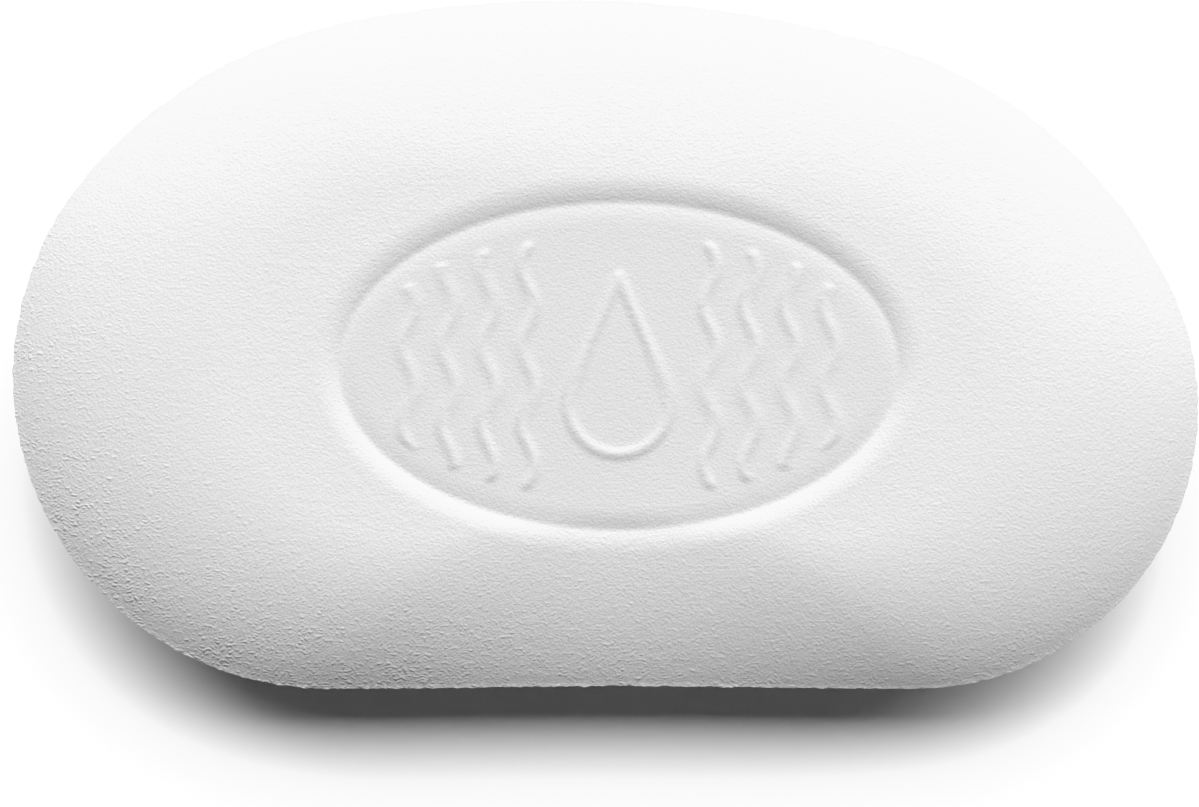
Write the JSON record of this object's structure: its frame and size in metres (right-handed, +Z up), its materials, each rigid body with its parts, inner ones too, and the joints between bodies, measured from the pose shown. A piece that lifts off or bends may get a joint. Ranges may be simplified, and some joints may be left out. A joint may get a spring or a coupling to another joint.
{
  "type": "potter's finishing sponge",
  "caption": "Soft D-shaped foam sponge for wetting, smoothing and cleaning clay, with a curved back, a straight front and a pressed oval medallion on its top face.",
  "frame": {"origin": "under the middle of the sponge, on the flat underside that it rests on", "axes": "+X along the length, +Y towards the curved back, +Z up out of the face with the medallion"},
  "size_m": [0.125, 0.0736, 0.016],
  "materials": {
    "white_foam": "matt fine-celled open foam, neutral white, uncoated"
  },
  "bodies": {
    "root": {"sponge_body": "white_foam"}
  },
  "joints": []
}
